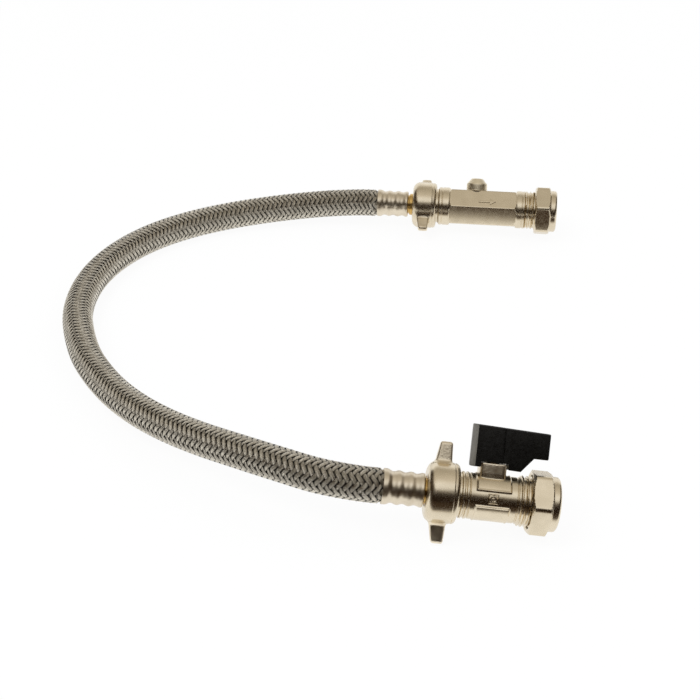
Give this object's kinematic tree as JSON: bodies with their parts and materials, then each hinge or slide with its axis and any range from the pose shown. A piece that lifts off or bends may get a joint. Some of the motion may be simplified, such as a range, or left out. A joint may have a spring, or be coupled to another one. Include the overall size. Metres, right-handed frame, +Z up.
{
  "type": "filling loop",
  "caption": "Braided flexible filling loop for topping up a sealed heating system, with a lever ball valve on one end and a double check valve on the other.",
  "frame": {"origin": "on the surface the loop lies on, under the middle of the box of the two valves", "axes": "+X from the hose towards the pipe ends of the valves, +Y from the ball valve towards the check valve, +Z up"},
  "size_m": [0.2485, 0.2936, 0.0427],
  "materials": {
    "nickel_plate": "satin nickel plate on brass",
    "brass": "bare turned brass",
    "steel": "plain steel",
    "steel_braid": "woven stainless wire",
    "black_plastic": "moulded, low sheen",
    "white_plastic": "moulded acetal",
    "white_seat": "turned seat plastic",
    "black_rubber": "matt rubber",
    "fibre": "pressed fibre"
  },
  "bodies": {
    "hose": {"hose_braid": "steel_braid", "hose_liner": "black_rubber", "ball_valve_ferrule": "nickel_plate", "ball_valve_hose_tail": "brass", "ball_valve_sealing_washer": "fibre", "check_valve_ferrule": "nickel_plate", "check_valve_hose_tail": "brass", "check_valve_sealing_washer": "fibre"},
    "near_wing_nut": {"ball_valve_wing_nut": "nickel_plate"},
    "ball_valve": {"ball_valve_body": "nickel_plate", "hose_side_ball_seat": "white_seat", "pipe_side_ball_seat": "white_seat", "seat_retainer": "brass", "spindle_o_ring": "black_rubber"},
    "lever": {"lever_handle": "black_plastic", "lever_screw": "steel", "spindle": "brass", "ball": "nickel_plate"},
    "near_olive": {"ball_valve_olive": "brass"},
    "near_compression_nut": {"ball_valve_compression_nut": "nickel_plate"},
    "far_wing_nut": {"check_valve_wing_nut": "nickel_plate"},
    "check_valve": {"check_valve_body": "nickel_plate", "test_plug": "nickel_plate", "test_plug_seal": "black_rubber", "cartridge_spacer": "white_plastic", "cartridge_circlip": "steel", "first_check_housing": "white_plastic", "first_check_spring": "steel", "first_check_seal": "black_rubber", "second_check_housing": "white_plastic", "second_check_spring": "steel", "second_check_seal": "black_rubber"},
    "first_poppet": {"first_check_poppet": "black_plastic"},
    "second_poppet": {"second_check_poppet": "black_plastic"},
    "far_olive": {"check_valve_olive": "brass"},
    "far_compression_nut": {"check_valve_compression_nut": "nickel_plate"}
  },
  "joints": [
    {"name": "near_wing_nut_turn", "type": "hinge", "parent": "hose", "child": "near_wing_nut", "pos_m": [-0.02115, -0.13417, 0.01758], "axis": [-0.996, 0, 0.0899], "range_deg": [0, 720]},
    {"name": "ball_valve_release", "type": "slide", "parent": "hose", "child": "ball_valve", "axis": [0.996, 0, -0.0899], "range_m": [0, 0.00363]},
    {"name": "lever_turn", "type": "hinge", "parent": "ball_valve", "child": "lever", "pos_m": [-0.00257, -0.12858, 0.02423], "axis": [0.0745, 0.5592, 0.8257], "range_deg": [-90, 0]},
    {"name": "near_olive_release", "type": "slide", "parent": "ball_valve", "child": "near_olive", "axis": [0.996, 0, -0.0899], "range_m": [0, 0.00544]},
    {"name": "near_compression_nut_turn", "type": "hinge", "parent": "near_olive", "child": "near_compression_nut", "pos_m": [0.01371, -0.13417, 0.01443], "axis": [0.996, 0, -0.0899], "range_deg": [0, 1080]},
    {"name": "far_wing_nut_turn", "type": "hinge", "parent": "hose", "child": "far_wing_nut", "pos_m": [-0.02344, 0.12673, 0.0123], "axis": [-0.9961, 0.0836, -0.027], "range_deg": [0, 1080]},
    {"name": "check_valve_release", "type": "slide", "parent": "hose", "child": "check_valve", "axis": [0.9961, -0.0836, 0.027], "range_m": [0, 0.00544]},
    {"name": "first_poppet_lift", "type": "slide", "parent": "check_valve", "child": "first_poppet", "axis": [0.9961, -0.0836, 0.027], "range_m": [0, 0.002], "stiffness_N_per_m": 100, "springref_m": -0.001, "deforming": ["first_check_spring"]},
    {"name": "second_poppet_lift", "type": "slide", "parent": "check_valve", "child": "second_poppet", "axis": [0.9961, -0.0836, 0.027], "range_m": [0, 0.002], "stiffness_N_per_m": 100, "springref_m": -0.001, "deforming": ["second_check_spring"]},
    {"name": "far_olive_release", "type": "slide", "parent": "check_valve", "child": "far_olive", "axis": [0.9961, -0.0836, 0.027], "range_m": [0, 0.00544]},
    {"name": "far_compression_nut_turn", "type": "hinge", "parent": "far_olive", "child": "far_compression_nut", "pos_m": [0.03932, 0.12147, 0.01401], "axis": [0.9961, -0.0836, 0.027], "range_deg": [0, 1080]}
  ],
  "couplings": [
    {"joint": "near_wing_nut_turn", "follows": "ball_valve_release", "rad_per_m": 3463.7},
    {"joint": "near_compression_nut_turn", "follows": "near_olive_release", "rad_per_m": 3463.7},
    {"joint": "far_wing_nut_turn", "follows": "check_valve_release", "rad_per_m": 3463.7},
    {"joint": "far_compression_nut_turn", "follows": "far_olive_release", "rad_per_m": 3463.7}
  ]
}
